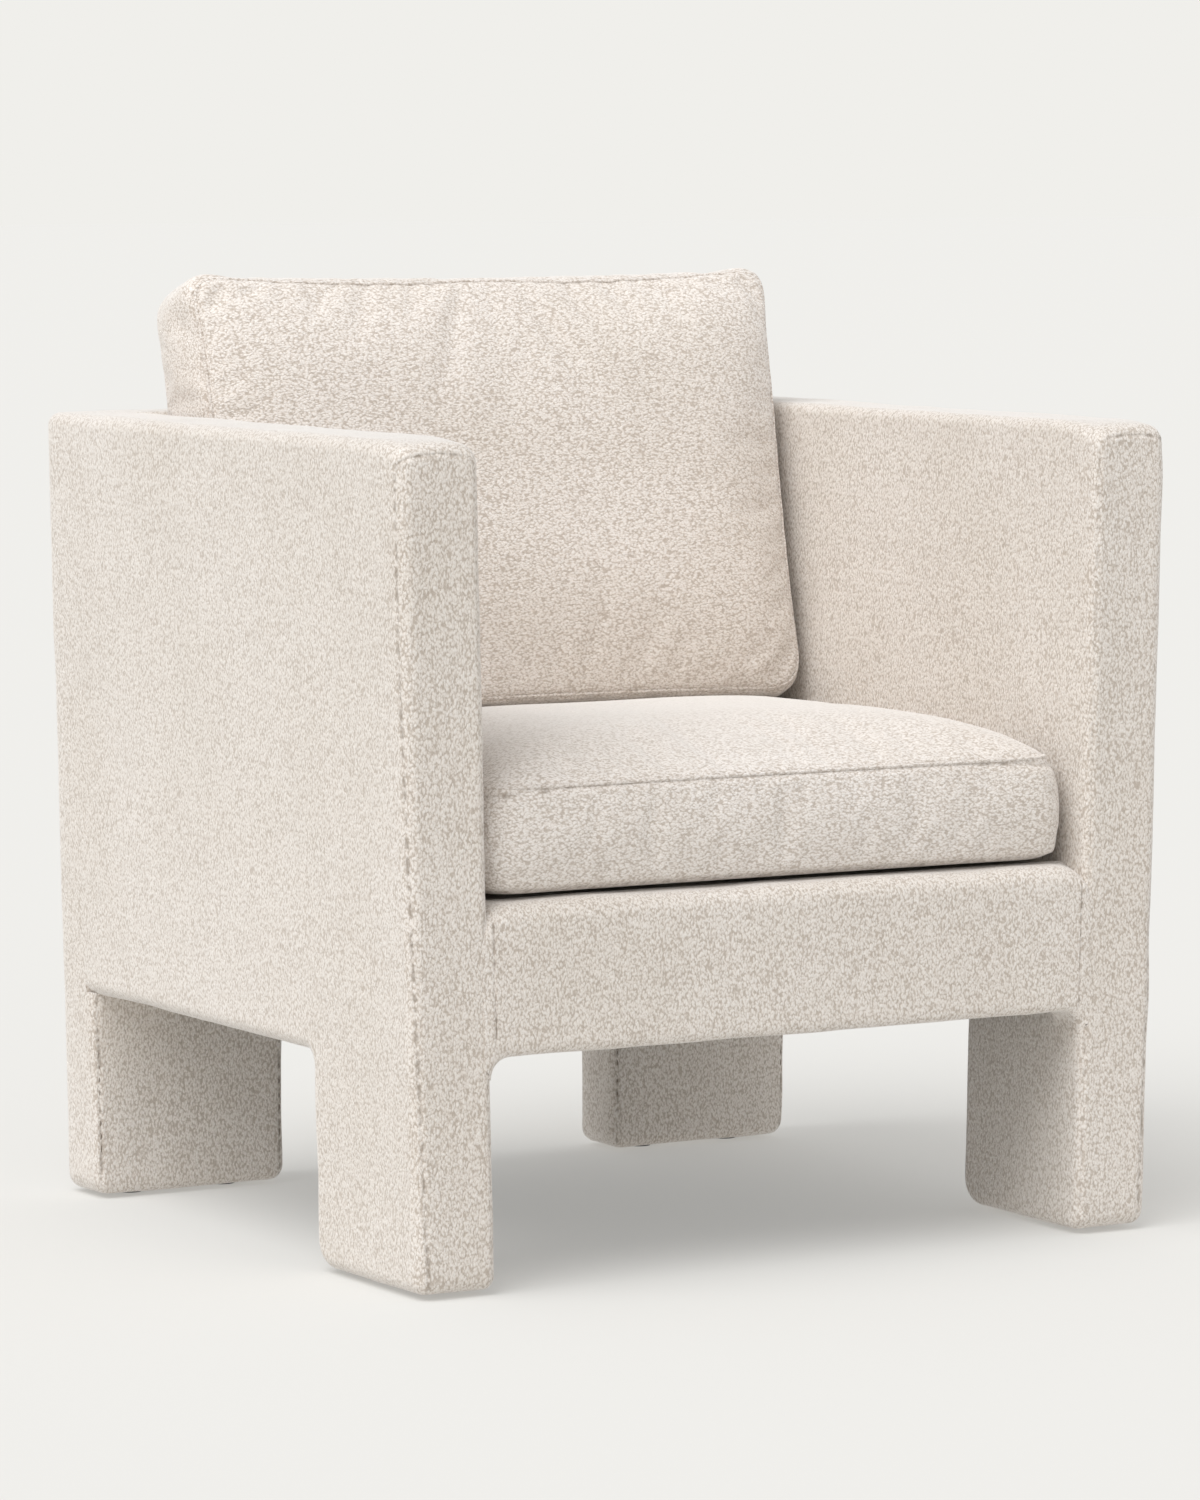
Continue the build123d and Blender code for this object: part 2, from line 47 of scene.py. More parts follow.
# sizes that several pieces share, in metres
chair = dict(
    halfFloor=0.361, lean=0.0165, height=0.703, front=-0.332, rear=0.332, armThickness=0.074,
    armEnd=0.2785, legFront=0.266, foot=0.004, underside=0.186, rearLegInner=0.173, pitch=1.5, rake=13.0,
)


# hand tools: selecting, rounding, cutting, shaping
def clearSelection():
    active = bpy.context.view_layer.objects.active
    if active and active.mode != "OBJECT":
        bpy.ops.object.mode_set(mode="OBJECT")
    bpy.ops.object.select_all(action="DESELECT")


def workOn(piece):
    clearSelection()
    piece.select_set(True)
    bpy.context.view_layer.objects.active = piece


def editPiece(piece, pick="EDGE"):
    workOn(piece)
    bpy.ops.object.mode_set(mode="EDIT")
    bpy.ops.mesh.select_mode(type=pick)
    bpy.ops.mesh.select_all(action="DESELECT")
    return bmesh.from_edit_mesh(piece.data)


def leaveEdit():
    bpy.ops.object.mode_set(mode="OBJECT")


def addBlock(name, low, high):
    clearSelection()
    middle = [(a + b) / 2 for a, b in zip(low, high)]
    size = [b - a for a, b in zip(low, high)]
    bpy.ops.mesh.primitive_cube_add(size=1, location=middle, scale=size)
    piece = bpy.context.object
    piece.name = piece.data.name = name
    bpy.ops.object.transform_apply(location=True, rotation=True, scale=True)
    return piece


def near(a, b, gap=0.0004):
    return abs(a - b) < gap


def roundEdges(piece, test, radius, segments=4):
    mesh = editPiece(piece)
    for edge in mesh.edges:
        a, b = edge.verts[0].co, edge.verts[1].co
        if test(a, b):
            edge.select_set(True)
    bmesh.update_edit_mesh(piece.data)
    bpy.ops.mesh.bevel(offset=radius, segments=segments, affect="EDGES")
    leaveEdit()


# an edge that runs along X at this y and z
def crossing(y, z):
    return lambda a, b: near(a.y, y) and near(b.y, y) and near(a.z, z) and near(b.z, z)


def cutAway(piece, low, high, cornerTest=None, radius=0.0):
    tool = addBlock("tool", low, high)
    if cornerTest:
        roundEdges(tool, cornerTest, radius, 6)
    workOn(piece)
    cut = piece.modifiers.new("cut", "BOOLEAN")
    cut.operation = "DIFFERENCE"
    cut.solver = "EXACT"
    cut.object = tool
    bpy.ops.object.modifier_apply(modifier="cut")
    bpy.data.objects.remove(tool)


def cutLines(piece, axis, places):
    normal = [1.0 if axis == name else 0.0 for name in "xyz"]
    editPiece(piece)
    for level in places:
        bpy.ops.mesh.select_all(action="SELECT")
        bpy.ops.mesh.bisect(plane_co=[level * n for n in normal], plane_no=normal)
    leaveEdit()


def spread(low, high, step):
    count = max(1, round((high - low) / step))
    return [low + (high - low) * n / count for n in range(1, count)]


# takes off what lies beyond the plane and closes the cut
def trimBeyond(piece, point, normal):
    editPiece(piece)
    bpy.ops.mesh.select_all(action="SELECT")
    bpy.ops.mesh.bisect(plane_co=point, plane_no=normal, use_fill=True, clear_outer=True)
    leaveEdit()


def applyModifier(piece, kind, **settings):
    workOn(piece)
    modifier = piece.modifiers.new(kind.lower(), kind)
    for key, value in settings.items():
        setattr(modifier, key, value)
    bpy.ops.object.modifier_apply(modifier=modifier.name)


# slow swell and dip of a padded cover
def ripple(piece, size, height):
    cloud = bpy.data.textures.new("ripple", "CLOUDS")
    cloud.noise_scale = size
    cloud.noise_depth = 1
    applyModifier(piece, "DISPLACE", texture=cloud, texture_coords="LOCAL", strength=height, mid_level=0.32)


def points(piece):
    flat = np.empty(len(piece.data.vertices) * 3)
    piece.data.vertices.foreach_get("co", flat)
    return flat.reshape(-1, 3)


def setPoints(piece, xyz):
    piece.data.vertices.foreach_set("co", np.ascontiguousarray(xyz, dtype=np.float32).ravel())
    piece.data.update()


def normals(piece):
    flat = np.empty(len(piece.data.vertices) * 3)
    piece.data.vertices.foreach_get("normal", flat)
    return flat.reshape(-1, 3)


def setField(piece, name, values):
    field = piece.data.attributes.new(name, "FLOAT", "POINT")
    field.data.foreach_set("value", np.clip(values, 0, 1).astype(np.float32))


def smoothShade(piece, angle=38):
    workOn(piece)
    bpy.ops.object.shade_smooth_by_angle(angle=math.radians(angle))


def mirrorCopy(piece, name):
    workOn(piece)
    bpy.ops.object.duplicate()
    other = bpy.context.object
    other.name = other.data.name = name
    other.scale.x = -1
    bpy.ops.object.transform_apply(location=True, rotation=True, scale=True)
    editPiece(other)
    bpy.ops.mesh.select_all(action="SELECT")
    bpy.ops.mesh.normals_make_consistent(inside=False)
    leaveEdit()
    return other


def leanOut(xyz, share):
    xyz[:, 0] += np.sign(xyz[:, 0]) * chair["lean"] * xyz[:, 2] / chair["height"] * share
    return xyz


# finishes
class Wire:
    # a socket that takes part in plain arithmetic
    def __init__(self, recipe, socket):
        self.recipe = recipe
        self.socket = socket

    def join(self, operation, first, second):
        return self.recipe.node("ShaderNodeMath", {"operation": operation}, {0: first, 1: second})

    def __add__(self, other):
        return self.join("ADD", self, other)

    __radd__ = __add__

    def __mul__(self, other):
        return self.join("MULTIPLY", self, other)

    __rmul__ = __mul__

    def __sub__(self, other):
        return self.join("SUBTRACT", self, other)

    def __rsub__(self, other):
        return self.join("SUBTRACT", other, self)

    def __pow__(self, other):
        return self.join("POWER", self, other)

    def atMost(self, other):
        return self.join("MINIMUM", self, other)

    def atLeast(self, other):
        return self.join("MAXIMUM", self, other)


class Finish:
    def __init__(self, name):
        self.material = bpy.data.materials.new(name)
        self.material.use_nodes = True
        self.tree = self.material.node_tree
        self.shader = self.tree.nodes["Principled BSDF"]

    def feed(self, socket, value):
        if isinstance(value, Wire):
            self.tree.links.new(value.socket, socket)
        else:
            socket.default_value = value

    def node(self, kind, settings=None, sockets=None, out=0):
        made = self.tree.nodes.new(kind)
        for key, value in (settings or {}).items():
            if key == "stops":
                ramp = made.color_ramp
                while len(ramp.elements) < len(value):
                    ramp.elements.new(1.0)
                for element, (position, colour) in zip(ramp.elements, value):
                    element.position = position
                    element.color = colour
            else:
                setattr(made, key, value)
        for key, value in (sockets or {}).items():
            self.feed(made.inputs[key], value)
        return Wire(self, made.outputs[out])

    def objectPoint(self, scale=(1, 1, 1), turn=(0, 0, 0)):
        spot = self.node("ShaderNodeTexCoord", out=3)
        turned = [math.radians(a) for a in turn]
        return self.node("ShaderNodeMapping", None, {"Vector": spot, "Scale": scale, "Rotation": turned})

    def noise(self, point, scale, detail=2.0, rough=0.5, twist=0.0):
        sockets = {"Vector": point, "Scale": scale, "Detail": detail, "Roughness": rough, "Distortion": twist}
        return self.node("ShaderNodeTexNoise", None, sockets)

    def ramp(self, value, stops):
        return self.node("ShaderNodeValToRGB", {"stops": stops}, {"Fac": value})

    def blend(self, share, first, second, how="MIX"):
        settings = {"data_type": "RGBA", "blend_type": how, "clamp_result": True}
        return self.node("ShaderNodeMix", settings, {0: share, 6: first, 7: second}, out=2)

    def field(self, name):
        return self.node("ShaderNodeAttribute", {"attribute_name": name}, out=2)

    def bump(self, height, depth, strength=1.0):
        return self.node("ShaderNodeBump", None, {"Height": height, "Distance": depth, "Strength": strength})

    def close(self, **sockets):
        for key, value in sockets.items():
            self.feed(self.shader.inputs[key.replace("_", " ")], value)
        return self.material


# ivory looped yarn: curled nubs about two millimetres across, with painted shade between the loops and painted
# highlights on their crests
yarn = dict(
    nubs=560.0, curls=920.0, fibre=2300.0, depth=0.0010, drift=260.0, stray=0.0032, gather=70.0, thread=130.0,
    hollowShade=(0.51, 0.443, 0.382, 1), body=(0.81, 0.752, 0.698, 1), crestHighlight=(0.93, 0.897, 0.865, 1),
    # the seam colour stands for dark thread with painted shade in the sewn groove
    seam=(0.27, 0.22, 0.175, 1), sheenTone=(0.95, 0.925, 0.90, 1),
)


def loopedYarn(name, stretch, turn=(0, 0, 0), tint=(1.0, 1.0, 1.0)):
    cloth = Finish(name)
    spot = cloth.objectPoint(stretch, turn)
    driftSockets = {"Vector": spot, "Scale": yarn["drift"], "Detail": 2.0}
    drift = cloth.node("ShaderNodeTexNoise", None, driftSockets, out=1)
    centred = cloth.node("ShaderNodeVectorMath", {"operation": "SUBTRACT"}, {0: drift, 1: (0.5, 0.5, 0.5)})
    shift = cloth.node("ShaderNodeVectorMath", {"operation": "SCALE"}, {0: centred, "Scale": yarn["stray"]})
    strayed = cloth.node("ShaderNodeVectorMath", {"operation": "ADD"}, {0: spot, 1: shift})
    nubSettings = {"feature": "SMOOTH_F1"}
    nubSockets = {"Vector": strayed, "Scale": yarn["nubs"], "Smoothness": 0.35, "Randomness": 1.0}
    cell = cloth.node("ShaderNodeTexVoronoi", nubSettings, nubSockets)
    nub = (1.0 - cell * 1.35).atLeast(0.0)
    curl = cloth.noise(strayed, yarn["curls"], 1.0, 0.5, 2.2)
    fibre = cloth.noise(spot, yarn["fibre"], 1.0)
    height = nub * 0.62 + curl * 0.42 + fibre * 0.10
    # the tone follows the loop height: painted shade in the hollows, painted highlight on the crests
    tone = cloth.ramp(height, [(0.22, yarn["hollowShade"]), (0.50, yarn["body"]), (0.86, yarn["crestHighlight"])])
    slow = cloth.noise(spot, 7.0, 3.0)
    worn = [v * t for v, t in zip((0.93, 0.92, 0.90), tint)]
    uneven = cloth.ramp(slow, [(0.25, (*worn, 1)), (0.75, (*tint, 1))])
    tone = cloth.blend(1.0, tone, uneven, "MULTIPLY")
    # painted sheen: the colour turns paler where the cloth is seen at a grazing angle
    grazing = cloth.node("ShaderNodeLayerWeight", None, {"Blend": 0.5}, out=1)
    tone = cloth.blend((grazing ** 4.0) * 0.75, tone, yarn["sheenTone"])
    seam = cloth.field("seam")
    pucker = cloth.field("pucker")
    gather = cloth.noise(cloth.objectPoint(), yarn["gather"], 1.0)
    thread = cloth.noise(cloth.objectPoint(), yarn["thread"], 1.0)
    # the seam line darkens: dark thread stitches broken up by noise, with painted shade in the sewn groove
    stitched = (seam * (thread * 4.5 - 1.95)).atLeast(0.0).atMost(0.62)
    tone = cloth.blend(stitched, tone, yarn["seam"])
    relief = height - seam * 0.5 + pucker * gather * 0.9
    rough = 0.90 + curl * 0.08
    return cloth.close(
        Base_Color=tone, Roughness=rough, Normal=cloth.bump(relief, yarn["depth"], 0.9),
        Sheen_Weight=0.34, Sheen_Roughness=0.45, Sheen_Tint=(1.0, 0.97, 0.92, 1), Specular_IOR_Level=0.18,
    )


# plain woven cloth: two crossing sets of threads
def wovenCloth(name, dark, light, threads, depth):
    cloth = Finish(name)
    spot = cloth.objectPoint()
    warp = cloth.node("ShaderNodeTexWave", {"bands_direction": "X"}, {"Vector": spot, "Scale": threads})
    weft = cloth.node("ShaderNodeTexWave", {"bands_direction": "Y"}, {"Vector": spot, "Scale": threads})
    slub = cloth.noise(spot, threads * 0.5, 2.0)
    weave = (warp * weft) * 0.7 + slub * 0.3
    tone = cloth.ramp(weave, [(0.15, dark), (0.65, light)])
    return cloth.close(
        Base_Color=tone, Roughness=0.82 + slub * 0.12, Normal=cloth.bump(weave, depth, 0.8),
        Sheen_Weight=0.15, Specular_IOR_Level=0.2,
    )


def sawnTimber():
    wood = Finish("timber")
    spot = wood.objectPoint((3.0, 3.0, 0.55))
    ring = wood.noise(spot, 26.0, 3.0, 0.55, 1.2)
    pore = wood.noise(wood.objectPoint((1, 1, 0.05)), 900.0, 1.0)
    tone = wood.ramp(ring, [(0.30, (0.36, 0.215, 0.105, 1)), (0.55, (0.55, 0.37, 0.20, 1)),
                            (0.78, (0.66, 0.47, 0.28, 1))])
    tone = wood.blend(pore * 0.25, tone, (0.30, 0.18, 0.09, 1))
    return wood.close(
        Base_Color=tone, Roughness=0.62 + pore * 0.2, Normal=wood.bump(ring * 0.6 + pore * 0.4, 0.0004, 0.6)
    )


def birchPlywood():
    wood = Finish("plywood")
    spot = wood.objectPoint((1.0, 1.0, 0.25))
    figure = wood.noise(spot, 34.0, 4.0, 0.6, 0.8)
    fleck = wood.noise(wood.objectPoint((1, 1, 0.06)), 700.0, 1.0)
    tone = wood.ramp(figure, [(0.3, (0.52, 0.38, 0.22, 1)), (0.6, (0.68, 0.53, 0.34, 1)),
                              (0.85, (0.74, 0.60, 0.42, 1))])
    tone = wood.blend(fleck * 0.2, tone, (0.42, 0.29, 0.16, 1))
    return wood.close(Base_Color=tone, Roughness=0.6 + fleck * 0.2, Normal=wood.bump(fleck, 0.0003, 0.5))


def seatFoam():
    foam = Finish("foam")
    spot = foam.objectPoint()
    pores = foam.node("ShaderNodeTexVoronoi", {"feature": "F1"}, {"Vector": spot, "Scale": 620.0})
    cloud = foam.noise(spot, 12.0, 3.0)
    tone = foam.ramp(pores * 0.7 + cloud * 0.4, [(0.15, (0.42, 0.34, 0.16, 1)), (0.7, (0.80, 0.72, 0.45, 1))])
    return foam.close(Base_Color=tone, Roughness=0.85 + cloud * 0.1, Normal=foam.bump(pores, 0.0008, 0.8))


def pressedFelt():
    felt = Finish("felt")
    spot = felt.objectPoint()
    fibres = felt.noise(spot, 420.0, 4.0, 0.7, 1.5)
    tone = felt.ramp(fibres, [(0.3, (0.10, 0.095, 0.09, 1)), (0.7, (0.27, 0.26, 0.25, 1))])
    return felt.close(Base_Color=tone, Roughness=0.9 + fibres * 0.08, Normal=felt.bump(fibres, 0.0008, 0.8))


def springSteel():
    steel = Finish("steel")
    spot = steel.objectPoint()
    film = steel.noise(spot, 45.0, 4.0)
    draw = steel.noise(steel.objectPoint((0.1, 1, 1)), 900.0, 2.0)
    tone = steel.ramp(film, [(0.35, (0.10, 0.10, 0.105, 1)), (0.7, (0.33, 0.32, 0.31, 1))])
    return steel.close(
        Base_Color=tone, Metallic=0.9, Roughness=0.32 + film * 0.25, Normal=steel.bump(draw, 0.0001, 0.5)
    )


def mouldedNylon():
    nylon = Finish("nylon")
    spot = nylon.objectPoint()
    grain = nylon.noise(spot, 1500.0, 2.0)
    scuff = nylon.noise(spot, 60.0, 4.0)
    tone = nylon.ramp(scuff, [(0.35, (0.018, 0.017, 0.016, 1)), (0.75, (0.06, 0.057, 0.053, 1))])
    return nylon.close(Base_Color=tone, Roughness=0.42 + scuff * 0.2, Normal=nylon.bump(grain, 0.0002, 0.5))


def darkThread():
    thread = Finish("thread")
    twist = thread.noise(thread.objectPoint((1, 1, 3)), 900.0, 2.0)
    tone = thread.ramp(twist, [(0.3, (0.12, 0.095, 0.075, 1)), (0.7, (0.30, 0.25, 0.20, 1))])
    return thread.close(Base_Color=tone, Roughness=0.75 + twist * 0.15, Normal=thread.bump(twist, 0.0003, 0.6))


armCloth = loopedYarn("boucleUpright", (1.0, 1.0, 0.6))
frontCloth = loopedYarn("boucleAcross", (1.0, 1.0, 0.65), (0, 30, 0))
cushionCloth = loopedYarn("boucleCushion", (0.62, 1.0, 1.0), (0, 24, 0), (1.02, 1.023, 1.035))
# a paler copy of the cushion cloth: painted light on the back cushion, which the arms and seat shade
backClothLit = loopedYarn("boucleBackLit", (0.62, 1.0, 1.0), (0, 24, 0), (1.11, 1.11, 1.12))
deckCloth = wovenCloth("deckCloth", (0.36, 0.31, 0.25, 1), (0.62, 0.56, 0.48, 1), 160.0, 0.0006)
blackCloth = wovenCloth("blackCloth", (0.006, 0.006, 0.006, 1), (0.035, 0.034, 0.033, 1), 220.0, 0.0005)
threadFinish = darkThread()
slotFinish = dict(
    boucle=armCloth, deck_cloth=deckCloth, black_cloth=blackCloth, felt=pressedFelt(), foam=seatFoam(),
    plywood=birchPlywood(), timber=sawnTimber(), steel=springSteel(), nylon=mouldedNylon(),
)
print("finishes made:", len(bpy.data.materials))


def wear(piece, finish):
    piece.data.materials.clear()
    piece.data.materials.append(finish)


def place(piece, finish, slot, body, *nodes):
    wear(piece, finish)
    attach(piece, body)
    if nodes:
        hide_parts(*nodes)


# arms with their front legs: one wrap and a narrow facing sewn into the front
armSettings = dict(
    rim=0.012, innerRim=0.009, topCorner=0.0128, toe=0.0128, heel=0.024, insideCorner=0.014, step=0.0115,
    seamHeights=(0.02, 0.35, 0.52), seamPlaces=(-0.0023, -0.0111, -0.0161), seamIn=0.0045, seamTop=0.009,
    seamCorner=0.009, seamDepth=0.0008, fine=0.0015, dimple=0.0012, crown=0.0075, lap=0.003,
    swell=0.0026, swellSize=0.085, legDepth=0.181, blockEnd=0.345, endMargin=0.02, capCuts=(0.015, 0.009, 5),
    facingDepth=0.04, seamFade=0.012, seamLeast=0.35, seamWidth=0.0014, puckerReach=0.022,
    dimpleBack=0.006, dimpleDown=0.016, dimpleReach=0.013, nod=0.002, crownBack=0.07, crownDown=0.09,
)


# the narrow front facing, measured round the outer front edge: how far each point is from its sewn
# outline, and how plainly the seam shows there
def facingSeam(xyz, outer, inner):
    s = armSettings
    rim = s["rim"]
    beside, behind = xyz[:, 0] - outer, xyz[:, 1] - chair["front"]
    turn = np.arctan2(np.maximum(rim - behind, 0), np.maximum(rim - beside, 1e-9))
    around = np.where(beside > rim, beside - rim, (turn - math.pi / 2) * rim - np.maximum(behind - rim, 0))
    left = around - np.interp(xyz[:, 2], s["seamHeights"], s["seamPlaces"])
    right = inner - s["seamIn"] - outer - rim - around
    level = xyz[:, 2] - chair["height"] + s["seamTop"]
    corner = s["seamCorner"]
    over, above = corner - np.minimum(left, right), level + corner
    beyond = np.hypot(np.maximum(over, 0), np.maximum(above, 0))
    away = abs(np.minimum(np.maximum(over, above), 0) + beyond - corner)
    return away + 1.0 * (behind > s["facingDepth"]), np.clip(right / s["seamFade"], s["seamLeast"], 1)


def makeArm():
    s, c = armSettings, chair
    outer, inner = -c["halfFloor"], c["armThickness"] - c["halfFloor"]
    legBack = c["front"] + s["legDepth"]
    arm = addBlock("leftArm", (outer, c["front"], c["foot"]), (inner, s["blockEnd"], c["height"]))
    cutAway(arm, (-1, legBack, -1), (1, 1, c["underside"]))
    roundEdges(arm, crossing(c["front"], c["height"]), s["topCorner"], 5)
    roundEdges(arm, crossing(c["front"], c["foot"]), s["toe"], 5)
    roundEdges(arm, crossing(legBack, c["foot"]), s["heel"], 6)
    roundEdges(arm, crossing(legBack, c["underside"]), s["insideCorner"], 5)
    for face, radius, segments in ((outer, s["rim"], 12), (inner, s["innerRim"], 5)):
        def ofFace(a, b):
            return near(a.x, face) and near(b.x, face) and min(a.y, b.y) < s["blockEnd"] - 0.005

        roundEdges(arm, ofFace, radius, segments)
    steps = range(-2, round(s["seamCorner"] / s["fine"]) + 1)
    cutLines(arm, "y", spread(c["front"] + s["endMargin"], 0.33, s["step"]))
    cutLines(arm, "z", spread(c["foot"], c["height"] - s["endMargin"], s["step"]))
    first, apart, count = s["capCuts"]
    cutLines(arm, "x", [outer + first + apart * n for n in range(count)])
    cutLines(arm, "x", [inner - s["seamIn"] - s["fine"] * n for n in steps])
    cutLines(arm, "z", [c["height"] - s["seamTop"] - s["fine"] * n for n in steps])
    trimBeyond(arm, (0, c["armEnd"] + s["lap"], 0), (0, 1, 0))
    away, shown = facingSeam(points(arm), outer, inner)
    groove = shown * np.exp(-((away / s["seamWidth"]) ** 2))
    ripple(arm, s["swellSize"], s["swell"])
    xyz = points(arm)
    corner = (outer, c["front"] + s["dimpleBack"], c["height"] - s["dimpleDown"])
    toCorner = np.linalg.norm(xyz - corner, axis=1)
    sink = s["seamDepth"] * groove + s["dimple"] * np.exp(-((toCorner / s["dimpleReach"]) ** 2))
    xyz -= normals(arm) * sink[:, None]
    ahead = np.clip(1 - (xyz[:, 1] - c["front"]) / s["crownBack"], 0, 1)
    aside = abs(xyz[:, 0] - (outer + inner) / 2) / (inner - outer) * 2
    upper = np.clip(1 - (c["height"] - xyz[:, 2]) / s["crownDown"], 0, 1)
    xyz[:, 2] -= (s["nod"] * ahead ** 2 + s["crown"] * aside ** 2.5 * ahead ** 1.5) * upper
    setPoints(arm, leanOut(xyz, 1.0))
    # the seam mask: here the cloth takes dark thread and painted shade in the sewn groove
    setField(arm, "seam", groove)
    setField(arm, "pucker", 1 - away / s["puckerReach"])
    return arm


leftArm = makeArm()
rightArm = mirrorCopy(leftArm, "rightArm")
for side, arm in (("left", leftArm), ("right", rightArm)):
    smoothShade(arm)
    nodes = [side + part for part in ("_arm_cover", "_front_facing", "_arm_padding")]
    place(arm, armCloth, "boucle", "frame", *nodes)
print("arms:", len(leftArm.data.polygons), "faces each")


# outside back with the two rear legs and their sewn facings
backSettings = dict(
    rim=0.0115, topCorner=0.012, toe=0.0128, insideCorner=0.014, legEdge=0.0085, step=0.0125, seamIn=0.005,
    seamHalf=0.0018, seamDepth=0.0008, seamWidth=0.0013, puckerReach=0.022, swell=0.0026, swellSize=0.085,
    sideMargin=0.02, topMargin=0.015, depthCuts=(0.29, 0.306), faceDepth=0.003,
)


def makeBack():
    s, c = backSettings, chair
    wide, leg = c["halfFloor"], c["rearLegInner"]
    back = addBlock("outsideBack", (-wide, c["legFront"], c["foot"]), (wide, c["rear"], c["height"]))
    cutAway(back, (-1, -1, c["underside"]), (1, c["armEnd"], 1))
    cutAway(back, (-leg, -1, -1), (leg, 1, c["underside"]))

    def lengthwise(x, z):
        return lambda a, b: near(a.x, b.x) and near(abs(a.x), x) and near(a.z, z) and near(b.z, z)

    roundEdges(back, lengthwise(wide, c["height"]), s["topCorner"], 6)
    roundEdges(back, lengthwise(wide, c["foot"]), s["toe"], 4)
    roundEdges(back, lengthwise(leg, c["foot"]), s["toe"], 4)
    roundEdges(back, lengthwise(leg, c["underside"]), s["insideCorner"], 5)
    roundEdges(back, lambda a, b: near(a.y, c["rear"]) and near(b.y, c["rear"]), s["rim"], 4)
    under = c["underside"] - 0.0005
    roundEdges(
        back,
        lambda a, b: near(a.y, c["legFront"]) and near(b.y, c["legFront"]) and min(a.z, b.z) < under,
        s["legEdge"], 4,
    )
    seams = (leg + s["seamIn"], wide - s["seamIn"])
    cutLines(back, "x", spread(-wide + s["sideMargin"], wide - s["sideMargin"], s["step"]))
    cutLines(back, "z", spread(c["foot"], c["height"] - s["topMargin"], s["step"]))
    cutLines(back, "y", s["depthCuts"])
    sewn = [side * seam for side in (-1, 1) for seam in seams]
    cutLines(back, "x", [x + s["seamHalf"] * n for x in sewn for n in (-1, 0, 1)])
    ripple(back, s["swellSize"], s["swell"])
    xyz = points(back)
    onLeg = (xyz[:, 1] < c["legFront"] + s["faceDepth"]) & (xyz[:, 2] < c["underside"])
    across = abs(xyz[:, 0])
    away = np.minimum(abs(across - seams[0]), abs(across - seams[1])) + 1.0 * ~onLeg
    groove = np.exp(-((away / s["seamWidth"]) ** 2))
    xyz[:, 1] += s["seamDepth"] * groove
    leaning = np.clip((abs(xyz[:, 0]) - leg) / (wide - leg - s["sideMargin"]), 0, 1)
    setPoints(back, leanOut(xyz, leaning))
    # the seam mask: here the cloth takes dark thread and painted shade in the sewn groove
    setField(back, "seam", groove)
    setField(back, "pucker", np.where(onLeg, 1 - away / s["puckerReach"], 0))
    return back


outsideBack = makeBack()
smoothShade(outsideBack)
place(
    outsideBack, armCloth, "boucle", "frame", "back_cover", "left_rear_leg_cover", "right_rear_leg_cover",
    "left_rear_leg_facing", "right_rear_leg_facing",
)
print("outside back:", len(outsideBack.data.polygons), "faces")


# front rail between the arms, flared down into the legs
railSettings = dict(
    top=0.3225, bottom=0.196, flare=0.018, depth=0.0405, lap=0.0075, topEdge=0.016, topEnd=0.024,
    lowEdge=0.008, seamIn=0.011, seamHalf=0.002, seamDepth=0.0009, seamShade=0.7, puckerReach=0.02,
    step=0.0115, swell=0.0022, swellSize=0.07, topMargin=0.018, depthCuts=(0.022, 0.031),
    faceDepth=0.012, rollDown=0.06, rollBack=0.028,
)


def makeRail():
    s, c = railSettings, chair
    leg = c["halfFloor"] - c["armThickness"]
    end = leg + s["lap"]  # laps over the rounded inner edge of the arm
    low = (-end, c["front"], s["bottom"] - s["flare"])
    rail = addBlock("frontRail", low, (end, c["front"] + s["depth"], s["top"]))

    def flared(a, b):
        return near(a.z, s["bottom"]) and near(b.z, s["bottom"]) and near(a.x, b.x)

    def lowFront(a, b):
        atFront = near(a.y, c["front"]) and near(b.y, c["front"])
        return atFront and max(a.z, b.z) < s["bottom"] + 0.001 and not near(a.x, b.x)

    cutAway(rail, (-leg, -1, -1), (leg, 1, s["bottom"]), flared, s["flare"])
    roundEdges(rail, crossing(c["front"], s["top"]), s["topEdge"], 6)
    roundEdges(rail, lowFront, s["lowEdge"], 4)
    seam = end - s["seamIn"]
    cutLines(rail, "x", spread(-end, end, s["step"]))
    cutLines(rail, "x", [side * (end - s["topEnd"] * n / 6) for side in (-1, 1) for n in range(1, 8)])
    cutLines(rail, "x", [side * (seam + s["seamHalf"] * n) for side in (-1, 1) for n in (-1, 0, 1)])
    cutLines(rail, "z", spread(s["bottom"], s["top"] - s["topMargin"], s["step"]))
    cutLines(rail, "y", [c["front"] + depth for depth in s["depthCuts"]])
    ripple(rail, s["swellSize"], s["swell"])
    xyz = points(rail)
    fromSeam = abs(abs(xyz[:, 0]) - seam)
    onFace = (xyz[:, 1] < c["front"] + s["faceDepth"]) & (xyz[:, 2] > s["bottom"] + 0.004)
    groove = (fromSeam < 0.001) & onFace
    xyz[groove, 1] += s["seamDepth"]
    nearEnd = np.clip(1 - (end - abs(xyz[:, 0])) / (1.4 * s["topEnd"]), 0, 1)
    drop = s["topEnd"] * (1 - np.sqrt(1 - nearEnd ** 2))  # the top rolls down where it meets the arm
    upper = np.clip((xyz[:, 2] - s["top"] + s["rollDown"]) / s["rollDown"], 0, 1)
    ahead = np.clip((c["front"] + s["depth"] - xyz[:, 1]) / s["rollBack"], 0, 1)
    xyz[:, 2] -= drop * upper * ahead
    setPoints(rail, leanOut(xyz, abs(xyz[:, 0]) / end))
    setField(rail, "seam", groove * s["seamShade"])
    setField(rail, "pucker", np.where(onFace, 1 - fromSeam / s["puckerReach"], 0))
    return rail


